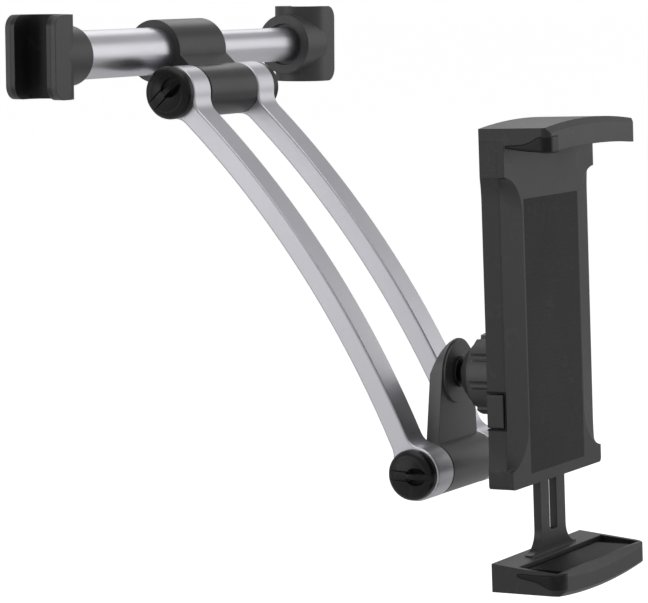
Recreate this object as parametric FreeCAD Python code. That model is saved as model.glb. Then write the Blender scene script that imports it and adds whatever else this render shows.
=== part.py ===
import FreeCAD, Part
import os
from math import acos, atan2, cos, degrees, pi, radians, sin, sqrt

V = FreeCAD.Vector

# Stretching mount for a phone or tablet on the two posts of a car headrest.
# Millimetres. X runs along the bar to the right, Z is up, -Y points to the rear seat.
# The origin is the centre of the left post's clamp, at half the hook's height.

# Headrest posts and hooks
post_d = 14.0
post_pitch = 181.5
pad_wall = 1.8
hook_wall = 2.2
hook_height = 30.4
hook_reach = 7.5
hook_corner = 5.0
left_boss_d = 22.0
left_boss_length = 5.0
right_boss_d = 23.8
right_boss_length = 3.9
right_socket_d = 16.6
right_socket_depth = 1.6
screw_web = 1.55
screw_shank_r = 1.4
screw_head_r = 2.8
screw_head_t = 1.0
screw_head_gap = 0.05
pin_inset = 0.9
pin_gap = 0.1

# Telescopic bar
outer_tube_d = 18.0
inner_tube_d = 13.6
tube_wall = 1.2
collar_from_post = 88.0
collar_d = 23.8
collar_screw_r = 1.5
collar_screw_socket = 1.5
tube_stop = 6.4
plug_sleeve = 1.5
bush_sleeve = 12.0
bush_flange = 4.2
spring_pin_d = 1.6
bar_spring_d = 8.4
bar_spring_wire = 1.0
bar_spring_turns = 14
bar_slide_in = 35.0

# Pivots and arms
upper_pivot_y = -16.4
upper_pivot_z = -14.9
arm_reach = 170.5
arm_angle = 52.9
arm_width = 12.0
arm_depth = 7.7
arm_rise = 12.4
arm_radius = 378.0
arm_blend = 7.0
arm_edge = 0.8
eye_d = 19.8
barrel_d = 19.6
barrel_length = 32.6
web_share = 0.36
collar_inset = 0.1
washer_d = 18.0
washer_t = 0.5
bolt_d = 6.0
bolt_head_af = 10.0
bolt_head_t = 4.0
bolt_head_sink = 3.0
upper_knob_d = 19.9
lower_knob_d = 18.6
knob_skirt = 1.4
knob_round = 3.0
knob_dome = 1.0
knob_scoop_depth = 2.2
knob_scoop_at = 0.38
knob_scoop_long = 0.48
knob_scoop_wide = 0.36
knob_fin_share = 0.1
knob_groove_at = 0.18
knob_groove_w = 0.5
knob_groove_depth = 0.5
knob_flat_at = 0.93
upper_fin_turn = -40.0
lower_fin_turn = 0.0
nut_af = 10.0
nut_t = 2.9
cap_d = 19.0
cap_t = 4.0
cap_round = 1.2
cap_hollow_share = 0.62
nut_seat_gap = 0.1

# Upright plate and ball stud
plate_t = 5.0
plate_base_inset = 1.0
plate_base_rise = 8.0
plate_top_r = 12.3
stud_rise = 34.3
plate_disc_d = 23.0
plate_disc_t = 0.8
plate_seat_t = 2.4
plate_thin_top = 0.6
ball_d = 16.0
ball_offset = 16.0
neck_d = 6.6
neck_foot_d = 8.4
neck_collar_d = 11.4
neck_collar_start = 10.8
neck_collar_end = 12.4
neck_collar_slope = 0.6
stud_nut_af = 10.0
stud_nut_t = 4.0
stud_washer_d = 12.0
stud_washer_t = 1.0
stud_tip = 1.0

# Ball nut and socket
ring_wall = 1.5
nut_mouth_d = 14.2
nut_front_d = 17.2
nut_cone_d = 25.4
nut_body_d = 29.8
nut_small_end = 7.6
nut_cone_end = 3.5
nut_tail = 10.0
nut_ribs = 9
nut_flute_r = 1.6
nut_flute_centre = 15.0
socket_d = 24.0
socket_start = 1.0
socket_flange_d = 30.0
socket_slit = 1.0
socket_slit_depth = 8.0
socket_screw_circle_r = 8.5
socket_screw_bite = 4.4
socket_ball_gap = 0.1
washer_near = 2.0
washer_far = 6.0
seat_near = 1.5
seat_far = 8.4
rib_setback = 1.8
small_screw_d = 2.2
small_head_d = 4.2
small_head_t = 1.3
small_head_gap = 0.4

# Cradle, in its own frame: origin in the ball's centre, +Y towards the plate
cradle_tilt = 2.0
body_back = -16.8
body_seam = -23.6
body_front = -26.5
body_bottom = -36.5
body_top = 86.6
back_half = 35.3
flare_out = 0.8
panel_half = 22.8
panel_top = 65.5
flare_top_start = 65.0
flare_top_end = 74.0
flare_bottom_start = -20.0
flare_bottom_end = -30.0
shell_wall = 1.8
panel_wall = 2.3
corner_r = 1.5
shell_screw_in = 6.0
shell_screw_low = 7.0
shell_screw_high = 70.0
shell_screw_sink = 2.4
shell_screw_bite = 1.5
shell_boss_r = 3.0
slope_step = 0.4
flare_bow = 0.38
flare_bow_at = 0.62
panel_top_start = 60.5
panel_bottom_start = -14.5
panel_bow = 0.29
panel_bow_at = 0.67
pad_inset = 1.0
pad_low_inset = 4.0
front_pad_t = 0.8
jaw_top = 93.3
jaw_top_arch = 2.4
jaw_front = -44.1
jaw_lip_t = 2.5
jaw_lip_top = 90.9
jaw_lip_top_arch = 2.1
jaw_lip_low = 83.9
jaw_lip_low_arch = 1.6
jaw_edge_depth = 1.6
jaw_edge_rise = 2.3
cheek_t = 2.0
cheek_low = 84.6
jaw_pad_t = 1.0
jaw_corner_r = 3.0
lower_corner_r = 4.5
jaw_liner_half = 28.0
jaw_liner_lip = 1.2
jaw_screw_x = 24.0
jaw_screw_bite = 3.0
lower_floor = -66.6
lower_bottom = -75.3
lower_arch = 2.3
lower_edge_rise = 1.5
lower_wall_top = -63.0
lower_lip_top = -65.7
lower_lip_dip = 2.9
lower_lip_bevel = 3.0
stem_half = 10.0
stem_front = -23.9
stem_t = 2.9
stem_end_gap = 4.8
stem_blend = 8.0
slot_half = 3.0
slot_bottom = -56.0
slot_bridge = 3.0
lug_half = 17.0
lug_z = 33.0
lug_t = 3.0
jaw_spring_x = 14.0
jaw_spring_d = 4.4
jaw_spring_wire = 0.7
jaw_spring_turns = 16
spring_end_gap = 0.02
spring_post_z = 80.5
spring_post_d = 3.0
jaw_close = 16.0
jaw_open = 60.0

# Release button and brake
button_z = -8.5
button_height = 12.0
button_depth = 6.5
button_proud = 0.8
button_travel = 2.5
button_wall = 2.0
button_corner = 0.8
button_back_inset = 0.2
brake_bar_t = 1.8
brake_bar_height = 3.0
brake_bar_z = -12.8
brake_shoe_w = 1.7
button_spring_d = 4.0
button_spring_wire = 0.5
button_spring_turns = 5
button_spring_z = -6.5
spring_rib_t = 1.5
button_spring_short = 7.0

# Clearances
gap = 0.3
run_gap = 0.08
slide_gap = 0.1

# Derived sizes
post_r = post_d / 2
hook_inner_r = post_r + pad_wall
hook_outer_r = hook_inner_r + hook_wall
half_height = hook_height / 2
screw_head_x0 = hook_inner_r + screw_head_gap
screw_head_x1 = screw_head_x0 + screw_head_t
web_x = screw_head_x1 + screw_web
outer_r = outer_tube_d / 2
outer_bore_r = outer_r - tube_wall
inner_r = inner_tube_d / 2
inner_bore_r = inner_r - tube_wall
collar_length = barrel_length - 2 * collar_inset
collar_left = collar_from_post - collar_length / 2
collar_right = collar_from_post + collar_length / 2
bush_start = collar_right - bush_flange - bush_sleeve
tube_end = collar_right - bush_flange
right_web_x = post_pitch - web_x
left_boss_x = hook_outer_r + left_boss_length
left_pin_x = left_boss_x - pin_inset
right_pin_x = post_pitch - left_pin_x
spring_pin_r = spring_pin_d / 2
plug_end = left_pin_x - spring_pin_r - bar_spring_wire - slide_gap - pin_gap
screw_tip_x = plug_end - pin_gap
inner_tube_start = left_pin_x + spring_pin_r + tube_stop + bar_slide_in
plate_base_half = barrel_length / 2 - plate_base_inset
eye_in = barrel_length / 2 + washer_t
eye_out = eye_in + arm_width
eye_r = eye_d / 2
bolt_r = bolt_d / 2
alpha = radians(arm_angle)
lower_pivot_y = upper_pivot_y - arm_reach * cos(alpha)
lower_pivot_z = upper_pivot_z - arm_reach * sin(alpha)
stud_z = lower_pivot_z + stud_rise
ball_y = lower_pivot_y - ball_offset
ball_r = ball_d / 2
ring_inner_r = ball_r + run_gap
ring_outer_r = ring_inner_r + ring_wall
cavity_r = ring_outer_r + gap
flare_half = back_half + flare_out
cheek_in = flare_half - cheek_t
lip_in = jaw_front + jaw_lip_t
inner_back = body_back - shell_wall
inner_front = body_front + panel_wall
jaw_screw_y = (body_seam + inner_back) / 2
stem_back = stem_front + stem_t
stem_top = body_top - shell_wall - jaw_close - stem_end_gap
spring_rib_x = -back_half + button_wall + button_travel + button_spring_short
nodes = {}


def keep(name, shape):
    """Store one node, made of one or more solids."""
    if len(shape.Solids) == 1:
        shape = shape.Solids[0]
    nodes[name] = shape


def cyl_x(r, x0, x1, y=0.0, z=0.0):
    return Part.makeCylinder(r, x1 - x0, V(x0, y, z), V(1, 0, 0))


def cyl_y(r, y0, y1, x=0.0, z=0.0):
    return Part.makeCylinder(r, y1 - y0, V(x, y0, z), V(0, 1, 0))


def cyl_z(r, z0, z1, x=0.0, y=0.0):
    return Part.makeCylinder(r, z1 - z0, V(x, y, z0), V(0, 0, 1))


def box(x0, x1, y0, y1, z0, z1):
    return Part.makeBox(x1 - x0, y1 - y0, z1 - z0, V(x0, y0, z0))


def prism(points, direction):
    """Extrude a closed polygon of points."""
    return Part.Face(Part.makePolygon(points + [points[0]])).extrude(direction)


def hexagon(af, start, direction):
    """Hexagonal prism with the given width across flats, along X or Y."""
    r = af / sqrt(3.0)
    along_x = abs(direction.x) > abs(direction.y)
    points = []
    for i in range(6):
        a = radians(60 * i)
        side = V(0, r * cos(a), r * sin(a)) if along_x else V(r * cos(a), 0, r * sin(a))
        points.append(start + side)
    return prism(points, direction)


def fuse(shapes):
    """Join shapes into one and merge their flush faces."""
    return shapes[0].multiFuse(shapes[1:]).removeSplitter()


def helix_spring(start_x, length, radius, wire_d, turns):
    """Coil along +X from the origin side, starting at its top."""
    pitch = length / turns
    helix = Part.makeHelix(pitch, length, radius)
    profile = Part.Wire(Part.makeCircle(wire_d / 2, V(radius, 0, 0), V(0, 1, 0)))
    coil = Part.Wire(helix).makePipeShell([profile], True, True)
    coil.rotate(V(0, 0, 0), V(0, 1, 0), 90)
    coil.rotate(V(0, 0, 0), V(1, 0, 0), 180)
    coil.translate(V(start_x, 0, 0))
    return coil


def hook_outline(radius, reach):
    """Face between the two lips of a U seen from above, open towards -X."""
    back = Part.LineSegment(V(-reach, radius, 0), V(0, radius, 0)).toShape()
    bend = Part.Arc(V(0, radius, 0), V(radius, 0, 0), V(0, -radius, 0)).toShape()
    front = Part.LineSegment(V(0, -radius, 0), V(-reach, -radius, 0)).toShape()
    close = Part.LineSegment(V(-reach, -radius, 0), V(-reach, radius, 0)).toShape()
    return Part.Face(Part.Wire([back, bend, front, close]))


def u_solid(radius, reach):
    solid = hook_outline(radius, reach).extrude(V(0, 0, hook_height))
    solid.translate(V(0, 0, -half_height))
    return solid


def lip_trim(reach, corner):
    """Block whose two corners at the open end of the hook are rounded."""
    trim = box(-reach, 3 * hook_outer_r, -2 * hook_outer_r, 2 * hook_outer_r,
               -half_height, half_height)
    edges = [e for e in trim.Edges
             if abs(e.CenterOfMass.x + reach) < 0.01 and abs(e.CenterOfMass.y) < 0.01]
    return trim.makeFillet(corner, edges)


def hook_set(boss_r, boss_x, socket_r, socket_depth, tube_r):
    """Shell and liner of one hook, as for the left post."""
    shell = u_solid(hook_outer_r, hook_reach).common(lip_trim(hook_reach, hook_corner))
    shell = fuse([shell, cyl_x(boss_r, 0, boss_x)])
    shell = shell.cut(u_solid(hook_inner_r, hook_reach + 1))
    shell = shell.cut(cyl_x(tube_r, web_x, boss_x))
    if socket_depth > 0:
        shell = shell.cut(cyl_x(socket_r, boss_x - socket_depth, boss_x))
    shell = shell.cut(cyl_x(screw_shank_r, hook_inner_r - 1, web_x))
    shell = shell.cut(cyl_x(screw_head_r, hook_inner_r - 1, screw_head_x1))
    liner = u_solid(hook_inner_r, hook_reach).common(lip_trim(hook_reach, hook_corner))
    liner = liner.cut(u_solid(post_r, hook_reach + 1))
    return shell, liner


def mirror_to_right(shape):
    """Turn a left-hand hook piece round onto the right post."""
    return shape.mirror(V(0, 0, 0), V(1, 0, 0)).translated(V(post_pitch, 0, 0))


def hook_screw():
    """Screw that holds a hook on the plug in its tube."""
    head = cyl_x(screw_head_r, screw_head_x0, screw_head_x1)
    return fuse([head, cyl_x(screw_shank_r, screw_head_x1, screw_tip_x)])


def build_hooks():
    shell, liner = hook_set(left_boss_d / 2, left_boss_x, 0, 0, outer_r)
    keep("left_hook", shell)
    keep("left_hook_pad", liner)
    keep("left_hook_screw", hook_screw())
    right_boss = hook_outer_r + right_boss_length
    shell, liner = hook_set(right_boss_d / 2, right_boss, right_socket_d / 2, right_socket_depth,
                            inner_r)
    keep("right_hook", mirror_to_right(shell))
    keep("right_hook_pad", mirror_to_right(liner))
    keep("right_hook_screw", mirror_to_right(hook_screw()))


def plug(radius, x0, x1):
    return cyl_x(radius, x0, x1).cut(cyl_x(screw_shank_r, x0, x1))


def build_bar():
    left_half = sqrt(outer_r ** 2 - spring_pin_r ** 2)
    left_pin = cyl_z(spring_pin_r, -left_half, left_half, left_pin_x)
    right_half = sqrt(inner_bore_r ** 2 - spring_pin_r ** 2)
    right_pin = cyl_z(spring_pin_r, -right_half, right_half, right_pin_x)
    outer_tube = cyl_x(outer_r, web_x, tube_end).cut(cyl_x(outer_bore_r, web_x, tube_end))
    keep("outer_tube", outer_tube.cut(left_pin))
    inner = cyl_x(inner_r, inner_tube_start, right_web_x)
    inner = inner.cut(cyl_x(inner_bore_r, inner_tube_start, right_web_x))
    keep("inner_tube", inner)
    bush = fuse([cyl_x(outer_bore_r, bush_start, tube_end), cyl_x(outer_r, tube_end, collar_right)])
    keep("tube_bush", bush.cut(cyl_x(inner_r + run_gap, bush_start, collar_right)))
    keep("left_plug", plug(outer_bore_r, web_x, plug_end))
    right_start = post_pitch - plug_end
    sleeve_end = right_pin_x - spring_pin_r - plug_sleeve
    right_plug = cyl_x(inner_bore_r, sleeve_end, right_web_x).cut(nodes["right_hook_screw"])
    right_plug = right_plug.cut(cyl_x(bar_spring_d / 2 + gap, sleeve_end, right_start))
    keep("right_plug", right_plug.cut(right_pin))
    keep("left_spring_pin", left_pin)
    keep("right_spring_pin", right_pin)
    hook_over = spring_pin_r + bar_spring_wire / 2 + slide_gap
    start = left_pin_x - hook_over
    length = right_pin_x + hook_over - start
    mean_r = (bar_spring_d - bar_spring_wire) / 2
    spring = helix_spring(start, length, mean_r, bar_spring_wire, bar_spring_turns)
    keep("bar_spring", spring)


def build_centre_bracket():
    """Collar round the outer tube, with the upper pivot's barrel moulded below it."""
    collar = cyl_x(collar_d / 2, collar_left, collar_right)
    barrel = cyl_x(barrel_d / 2, collar_from_post - barrel_length / 2,
                   collar_from_post + barrel_length / 2, upper_pivot_y, upper_pivot_z)
    span = sqrt(upper_pivot_y ** 2 + upper_pivot_z ** 2)
    web_half = barrel_d * web_share
    web = box(collar_left, collar_right, 0, span, -web_half, web_half)
    web.rotate(V(0, 0, 0), V(1, 0, 0), degrees(atan2(upper_pivot_z, upper_pivot_y)))
    bracket = fuse([collar, barrel, web])
    bracket = bracket.cut(cyl_x(outer_r, collar_left - 1, collar_right + 1))
    bore = cyl_x(bolt_r + run_gap, collar_from_post - barrel_length, collar_from_post + barrel_length,
                 upper_pivot_y, upper_pivot_z)
    bracket = bracket.cut(bore)
    screw = cyl_y(collar_screw_r, outer_r, collar_d / 2 - gap, collar_from_post)
    keep("centre_bracket", bracket.cut(cyl_y(collar_screw_r, outer_r, collar_d, collar_from_post)))
    socket_y = collar_d / 2 - collar_screw_socket
    socket = hexagon(collar_screw_socket, V(collar_from_post, socket_y, 0), V(0, collar_screw_r, 0))
    keep("collar_screw", screw.cut(socket))


# Arms: an arched flat bar between two round eyes, cut from thick aluminium

def arm_point(x, along, off):
    """Point of an arm, measured along the line of its pivots and off it."""
    y = upper_pivot_y - along * cos(alpha) - off * sin(alpha)
    z = upper_pivot_z - along * sin(alpha) + off * cos(alpha)
    return V(x, y, z)


def arm_shape(x0):
    middle = arm_reach / 2
    centre_off = arm_rise - arm_radius

    def arc(radius, first, last):
        def on_arc(s):
            return arm_point(x0, s, centre_off + sqrt(radius ** 2 - (s - middle) ** 2))
        return Part.Arc(on_arc(first), on_arc(middle), on_arc(last)).toShape()

    top = arc(arm_radius, 0.0, arm_reach)
    bottom = arc(arm_radius - arm_depth, arm_reach, 0.0)
    ends = [Part.makeLine(top.valueAt(top.LastParameter), bottom.valueAt(bottom.FirstParameter)),
            Part.makeLine(bottom.valueAt(bottom.LastParameter), top.valueAt(top.FirstParameter))]
    wire = Part.Wire([top, ends[0], bottom, ends[1]])
    bar = Part.Face(wire).extrude(V(arm_width, 0, 0))
    eyes = [cyl_x(eye_r, x0, x0 + arm_width, y, z)
            for y, z in ((upper_pivot_y, upper_pivot_z), (lower_pivot_y, lower_pivot_z))]
    body = fuse([bar] + eyes)
    corners = []
    for e in body.Edges:
        if not isinstance(e.Curve, Part.Line) and not isinstance(e.Curve, Part.LineSegment):
            continue
        side = abs(e.CenterOfMass.x - x0 - arm_width / 2) < 0.01
        if side and len(body.ancestorsOfType(e, Part.Face)) == 2:
            faces = body.ancestorsOfType(e, Part.Face)
            radii = [f.Surface.Radius for f in faces if hasattr(f.Surface, "Radius")]
            if len(radii) == 2 and abs(radii[0] - radii[1]) > 1:
                corners.append(e)
    body = body.makeFillet(arm_blend, corners)
    rims = [e for e in body.Edges
            if abs(e.BoundBox.XLength) < 0.01]
    body = body.makeFillet(arm_edge, rims)
    for y, z in ((upper_pivot_y, upper_pivot_z), (lower_pivot_y, lower_pivot_z)):
        body = body.cut(cyl_x(bolt_r, x0 - 1, x0 + arm_width + 1, y, z))
    return body


def build_arms():
    left_x = collar_from_post - eye_out
    right_x = collar_from_post + eye_in
    keep("left_arm", arm_shape(left_x))
    right = arm_shape(right_x)
    head_x = collar_from_post + eye_out - bolt_head_sink
    for y, z in ((upper_pivot_y, upper_pivot_z), (lower_pivot_y, lower_pivot_z)):
        right = right.cut(hexagon(bolt_head_af, V(head_x, y, z), V(bolt_head_sink + 1, 0, 0)))
    keep("right_arm", right)


def knob_shape(r, turn):
    """Round knob on the X axis, its flat side at X = 0 and its dome towards -X."""
    top = -knob_skirt - knob_round - knob_dome
    flat_r = r - knob_round
    rim = V(-knob_skirt, r, 0)
    turn_in = knob_round * (1 - 1 / sqrt(2.0))
    round_mid = V(-knob_skirt - knob_round + turn_in, r - turn_in, 0)
    round_end = V(-knob_skirt - knob_round, flat_r, 0)
    dome_r = (flat_r ** 2 + knob_dome ** 2) / (2 * knob_dome)
    dome_mid = V(top + dome_r - sqrt(dome_r ** 2 - flat_r ** 2 / 4), flat_r / 2, 0)
    profile = Part.Wire([Part.makeLine(V(0, 0, 0), V(0, r, 0)), Part.makeLine(V(0, r, 0), rim),
                         Part.Arc(rim, round_mid, round_end).toShape(),
                         Part.Arc(round_end, dome_mid, V(top, 0, 0)).toShape(),
                         Part.makeLine(V(top, 0, 0), V(0, 0, 0))])
    body = Part.Face(profile).revolve(V(0, 0, 0), V(1, 0, 0), 360)
    stretch = FreeCAD.Matrix()
    stretch.scale(V(knob_scoop_depth, r * knob_scoop_long, r * knob_scoop_wide))
    scoop = Part.makeSphere(1.0).transformGeometry(stretch)
    scoop.translate(V(top, -r * knob_scoop_at, 0))
    fin_half = r * knob_fin_share
    cuts = [scoop.cut(box(top - knob_scoop_depth, 0, -r, r, -fin_half, fin_half)),
            box(top - 1, 1, r * knob_flat_at, r + 1, -r, r)]
    for sign in (-1, 1):
        mid = sign * r * knob_groove_at
        cuts.append(box(top, -knob_skirt - knob_round + knob_groove_depth, -knob_groove_w, r,
                        mid - knob_groove_w / 2, mid + knob_groove_w / 2))
    for cut in cuts:
        cut.rotate(V(0, 0, 0), V(1, 0, 0), turn)
        body = body.cut(cut)
    return body


def build_pivot(prefix, y, z, knob_r, turn):
    """Bolt, nut, knob, end cap and the two washers of one pivot."""
    left = collar_from_post - eye_out
    right = collar_from_post + eye_out
    head_x = right - bolt_head_sink
    nut_x = left - gap - nut_t
    bolt_end = nut_x + nut_seat_gap
    head = hexagon(bolt_head_af, V(head_x, y, z), V(bolt_head_t, 0, 0))
    bolt = fuse([cyl_x(bolt_r, bolt_end, head_x, y, z), head])
    keep(prefix + "_bolt", bolt)
    knob = knob_shape(knob_r, turn).translated(V(left - gap, y, z))
    pocket = hexagon(nut_af, V(nut_x, y, z), V(nut_t, 0, 0))
    knob = knob.cut(pocket).cut(cyl_x(bolt_r + gap, nut_x, left, y, z))
    keep(prefix + "_knob", knob)
    nut = hexagon(nut_af, V(nut_x, y, z), V(nut_t, 0, 0))
    keep(prefix + "_nut", nut.cut(cyl_x(bolt_r + run_gap, nut_x - 1, left, y, z)))
    cap = cyl_x(cap_d / 2, right, right + cap_t, y, z)
    rim = [e for e in cap.Edges if abs(e.CenterOfMass.x - right - cap_t) < 0.01]
    cap = cap.makeFillet(cap_round, rim)
    head_out = bolt_head_t - bolt_head_sink + nut_seat_gap
    hollow = cyl_x(bolt_head_af * cap_hollow_share, right, right + head_out, y, z)
    keep(prefix + "_cap", cap.cut(hollow))
    washers = []
    for x0 in (collar_from_post - eye_in, collar_from_post + barrel_length / 2):
        disc = cyl_x(washer_d / 2, x0, x0 + washer_t, y, z)
        washers.append(disc.cut(cyl_x(bolt_r, x0, x0 + washer_t, y, z)))
    keep(prefix + "_washers", Part.makeCompound(washers))


def build_plate():
    """Lower barrel with the upright plate, and the ball stud bolted through it."""
    xc = collar_from_post
    y0 = lower_pivot_y - plate_t / 2
    barrel = cyl_x(barrel_d / 2, xc - barrel_length / 2, xc + barrel_length / 2,
                   lower_pivot_y, lower_pivot_z)
    rise = stud_rise - plate_base_rise
    reach = sqrt(plate_base_half ** 2 + rise ** 2)
    lean = atan2(plate_base_half, -rise) - acos(plate_top_r / reach)
    tx = plate_top_r * sin(lean)
    tz = stud_z + plate_top_r * cos(lean)
    base_z = lower_pivot_z + plate_base_rise
    edges = [Part.makeLine(V(xc - plate_base_half, y0, lower_pivot_z),
                           V(xc + plate_base_half, y0, lower_pivot_z)),
             Part.makeLine(V(xc + plate_base_half, y0, lower_pivot_z),
                           V(xc + plate_base_half, y0, base_z)),
             Part.makeLine(V(xc + plate_base_half, y0, base_z), V(xc + tx, y0, tz)),
             Part.Arc(V(xc + tx, y0, tz), V(xc, y0, stud_z + plate_top_r),
                      V(xc - tx, y0, tz)).toShape(),
             Part.makeLine(V(xc - tx, y0, tz), V(xc - plate_base_half, y0, base_z)),
             Part.makeLine(V(xc - plate_base_half, y0, base_z),
                           V(xc - plate_base_half, y0, lower_pivot_z))]
    plate = Part.Face(Part.Wire(edges)).extrude(V(0, plate_t, 0))
    disc = cyl_y(plate_disc_d / 2, y0 - plate_disc_t, y0, xc, stud_z)
    bracket = fuse([barrel, plate, disc])
    bracket = bracket.cut(cyl_x(bolt_r + run_gap, xc - barrel_length, xc + barrel_length,
                                lower_pivot_y, lower_pivot_z))
    back_y = y0 + plate_seat_t
    bracket = bracket.cut(cyl_y(bolt_r, y0 - 2, y0 + plate_t + 1, xc, stud_z))
    bracket = bracket.cut(cyl_y(stud_washer_d / 2 + gap, back_y, y0 + plate_t + 1, xc, stud_z))
    top_z = stud_z + plate_top_r
    slope = prism([V(-barrel_length, y0 + plate_t, stud_z), V(-barrel_length, y0 + plate_thin_top, top_z),
                   V(-barrel_length, y0 + plate_thin_top, top_z + 1),
                   V(-barrel_length, y0 + plate_t + 1, top_z + 1), V(-barrel_length, y0 + plate_t + 1, stud_z)],
                  V(2 * barrel_length, 0, 0)).translated(V(xc, 0, 0))
    keep("plate_bracket", bracket.cut(slope))
    face_y = y0 - plate_disc_t
    shank_end = back_y + stud_washer_t + stud_nut_t + stud_tip
    shank = cyl_y(bolt_r, face_y, shank_end, xc, stud_z)
    foot = cyl_y(neck_foot_d / 2, ball_y + neck_collar_end, face_y, xc, stud_z)
    collar_y = ball_y + neck_collar_start + neck_collar_slope
    collar = cyl_y(neck_collar_d / 2, collar_y, ball_y + neck_collar_end, xc, stud_z)
    flare = Part.makeCone(neck_d / 2, neck_collar_d / 2, neck_collar_slope,
                          V(xc, ball_y + neck_collar_start, stud_z), V(0, 1, 0))
    neck = cyl_y(neck_d / 2, ball_y, face_y, xc, stud_z)
    ball = Part.makeSphere(ball_r, V(xc, ball_y, stud_z))
    keep("ball_stud", fuse([ball, neck, flare, collar, foot, shank]))
    washer = cyl_y(stud_washer_d / 2, back_y, back_y + stud_washer_t, xc, stud_z)
    keep("stud_washer", washer.cut(cyl_y(bolt_r, back_y, back_y + stud_washer_t, xc, stud_z)))
    nut_y = back_y + stud_washer_t
    nut = hexagon(stud_nut_af, V(xc, nut_y, stud_z), V(0, stud_nut_t, 0))
    keep("stud_nut", nut.cut(cyl_y(bolt_r, nut_y, nut_y + stud_nut_t, xc, stud_z)))


# Everything below is built in the cradle's own frame and moved onto the ball at the end

def place(shape):
    """Move a cradle piece from its own frame onto the ball, leaned by the cradle's tilt."""
    shape = shape.copy()
    shape.rotate(V(0, 0, 0), V(1, 0, 0), -cradle_tilt)
    shape.translate(V(collar_from_post, ball_y, stud_z))
    return shape


def keep_cradle(name, shape):
    keep(name, place(shape))


def spherical_zone(r_in, r_out, y0, y1):
    """Ring between two spheres round the ball, cut by two planes square to Y."""
    slab = cyl_y(r_out + 1, y0, y1)
    zone = Part.makeSphere(r_out).common(slab)
    return zone.cut(Part.makeSphere(r_in))


def build_ball_joint():
    keep_cradle("ball_washer", spherical_zone(ring_inner_r, ring_outer_r, washer_near, washer_far))
    keep_cradle("ball_seat", spherical_zone(ring_inner_r, ring_outer_r, -seat_far, -seat_near))
    cone = Part.makeCone(nut_cone_d / 2, nut_front_d / 2, nut_small_end - nut_cone_end,
                         V(0, nut_cone_end, 0), V(0, 1, 0))
    nut = fuse([cone, cyl_y(nut_body_d / 2, -nut_tail, nut_cone_end - rib_setback),
                cyl_y(nut_cone_d / 2, -nut_tail, nut_cone_end)])
    for i in range(nut_ribs):
        turn = pi / 2 + 2 * pi * (i + 0.5) / nut_ribs
        nut = nut.cut(cyl_y(nut_flute_r, -nut_tail - 1, nut_cone_end,
                            nut_flute_centre * cos(turn), nut_flute_centre * sin(turn)))
    nut = nut.cut(Part.makeSphere(cavity_r))
    nut = nut.cut(cyl_y(nut_mouth_d / 2, 0, nut_small_end + 1))
    nut = nut.cut(cyl_y(socket_d / 2 + slide_gap, -nut_tail - 1, socket_start + gap))
    keep_cradle("ball_nut", nut)
    socket = fuse([cyl_y(socket_d / 2, body_back, socket_start),
                   cyl_y(socket_flange_d / 2, body_back, -nut_tail - gap)])
    socket = socket.cut(Part.makeSphere(cavity_r))
    for turn in (0, 90):
        slit = box(-socket_d, socket_d, socket_start - socket_slit_depth, socket_start + 1,
                   -socket_slit / 2, socket_slit / 2)
        slit.rotate(V(0, 0, 0), V(0, 1, 0), turn)
        socket = socket.cut(slit)
    for x, z in socket_screw_places():
        hole_end = body_back + socket_screw_bite + socket_ball_gap
        socket = socket.cut(cyl_y(small_screw_d / 2, body_back - 1, hole_end, x, z))
    keep_cradle("ball_socket", socket)
    screws = []
    for x, z in socket_screw_places():
        screws.append(small_screw(x, z, inner_back, body_back + socket_screw_bite))
    keep_cradle("socket_screws", Part.makeCompound(screws))


def socket_screw_places():
    r = socket_screw_circle_r / sqrt(2.0)
    return [(r, r), (-r, r), (-r, -r), (r, -r)]


def small_screw(x, z, head_y, tip_y):
    """Countersunk screw along Y, its flat head at head_y."""
    sign = 1 if tip_y > head_y else -1
    head = Part.makeCone(small_head_d / 2, small_screw_d / 2, small_head_t,
                         V(x, head_y, z), V(0, sign, 0))
    start = head_y + sign * small_head_t
    shank = cyl_y(small_screw_d / 2, min(start, tip_y), max(start, tip_y), x, z)
    return fuse([head, shank])


def rounded_box(x0, x1, y0, y1, z0, z1, r):
    """Block with its four edges along Y rounded."""
    block = box(x0, x1, y0, y1, z0, z1)
    edges = [e for e in block.Edges if e.BoundBox.YLength > (y1 - y0) * 0.9]
    return block.makeFillet(r, edges)


def shell_screw_places():
    return [(sx * (back_half - shell_screw_in), z) for sx in (-1, 1)
            for z in (body_bottom + shell_screw_low, shell_screw_high)]


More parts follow.
